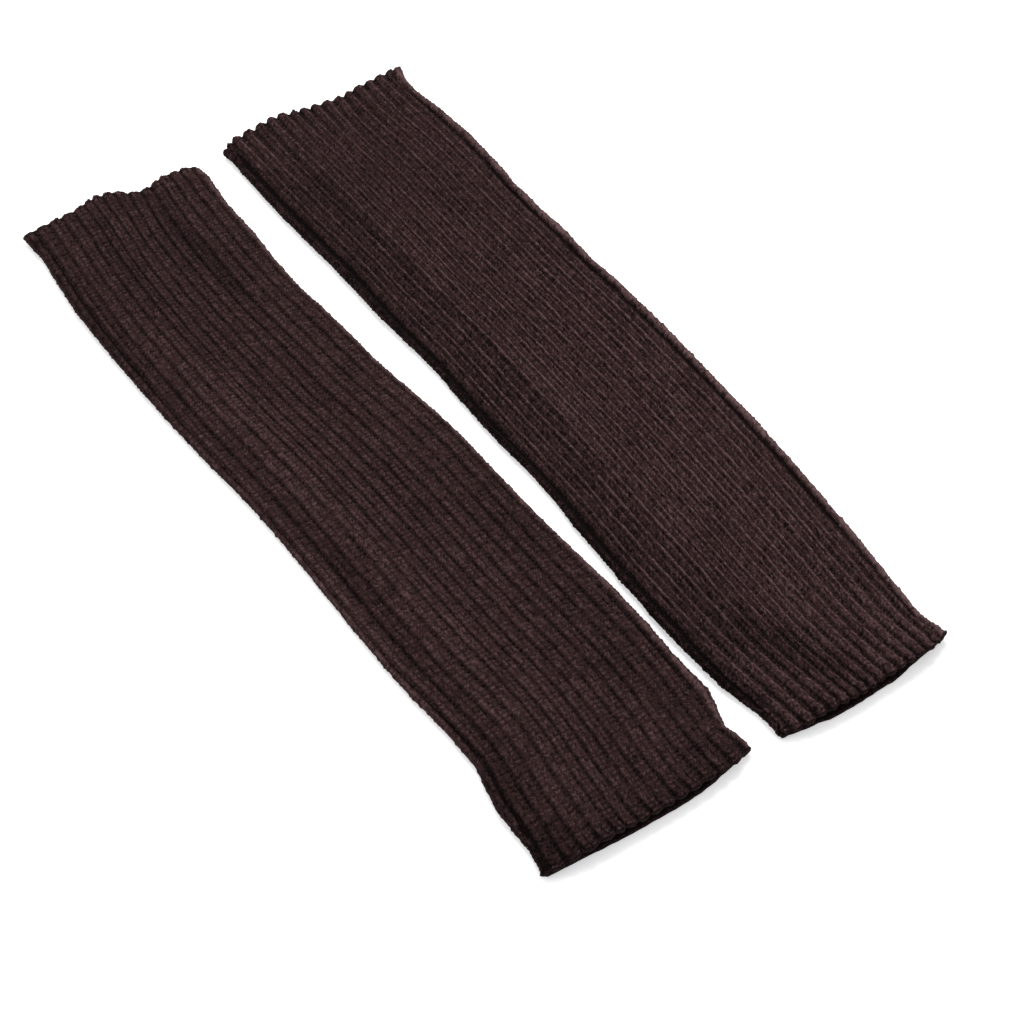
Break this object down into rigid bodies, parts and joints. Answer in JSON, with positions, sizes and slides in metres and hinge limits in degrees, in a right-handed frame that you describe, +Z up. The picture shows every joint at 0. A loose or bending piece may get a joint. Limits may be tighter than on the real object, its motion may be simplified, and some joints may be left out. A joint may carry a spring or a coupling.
{
  "type": "pair of knitted leg warmers",
  "caption": "Pair of long footless ribbed wool leg warmers lying flat side by side, each an open-ended knitted tube with rounded side folds and uneven ends.",
  "frame": {"origin": "middle of the pair's footprint, on the surface that both leg warmers lie on", "axes": "+Y along the tubes from their near ends to their far ends, +X across the pair from left to right, +Z up from the surface"},
  "size_m": [0.2232, 0.4412, 0.0092],
  "materials": {
    "left_leg_warmer_wool": "matt dark brown wool knit, face side of the rib",
    "right_leg_warmer_wool": "matt dark brown wool knit, reverse side of the rib"
  },
  "bodies": {
    "root": {"left_leg_warmer": "left_leg_warmer_wool", "right_leg_warmer": "right_leg_warmer_wool"}
  },
  "joints": []
}
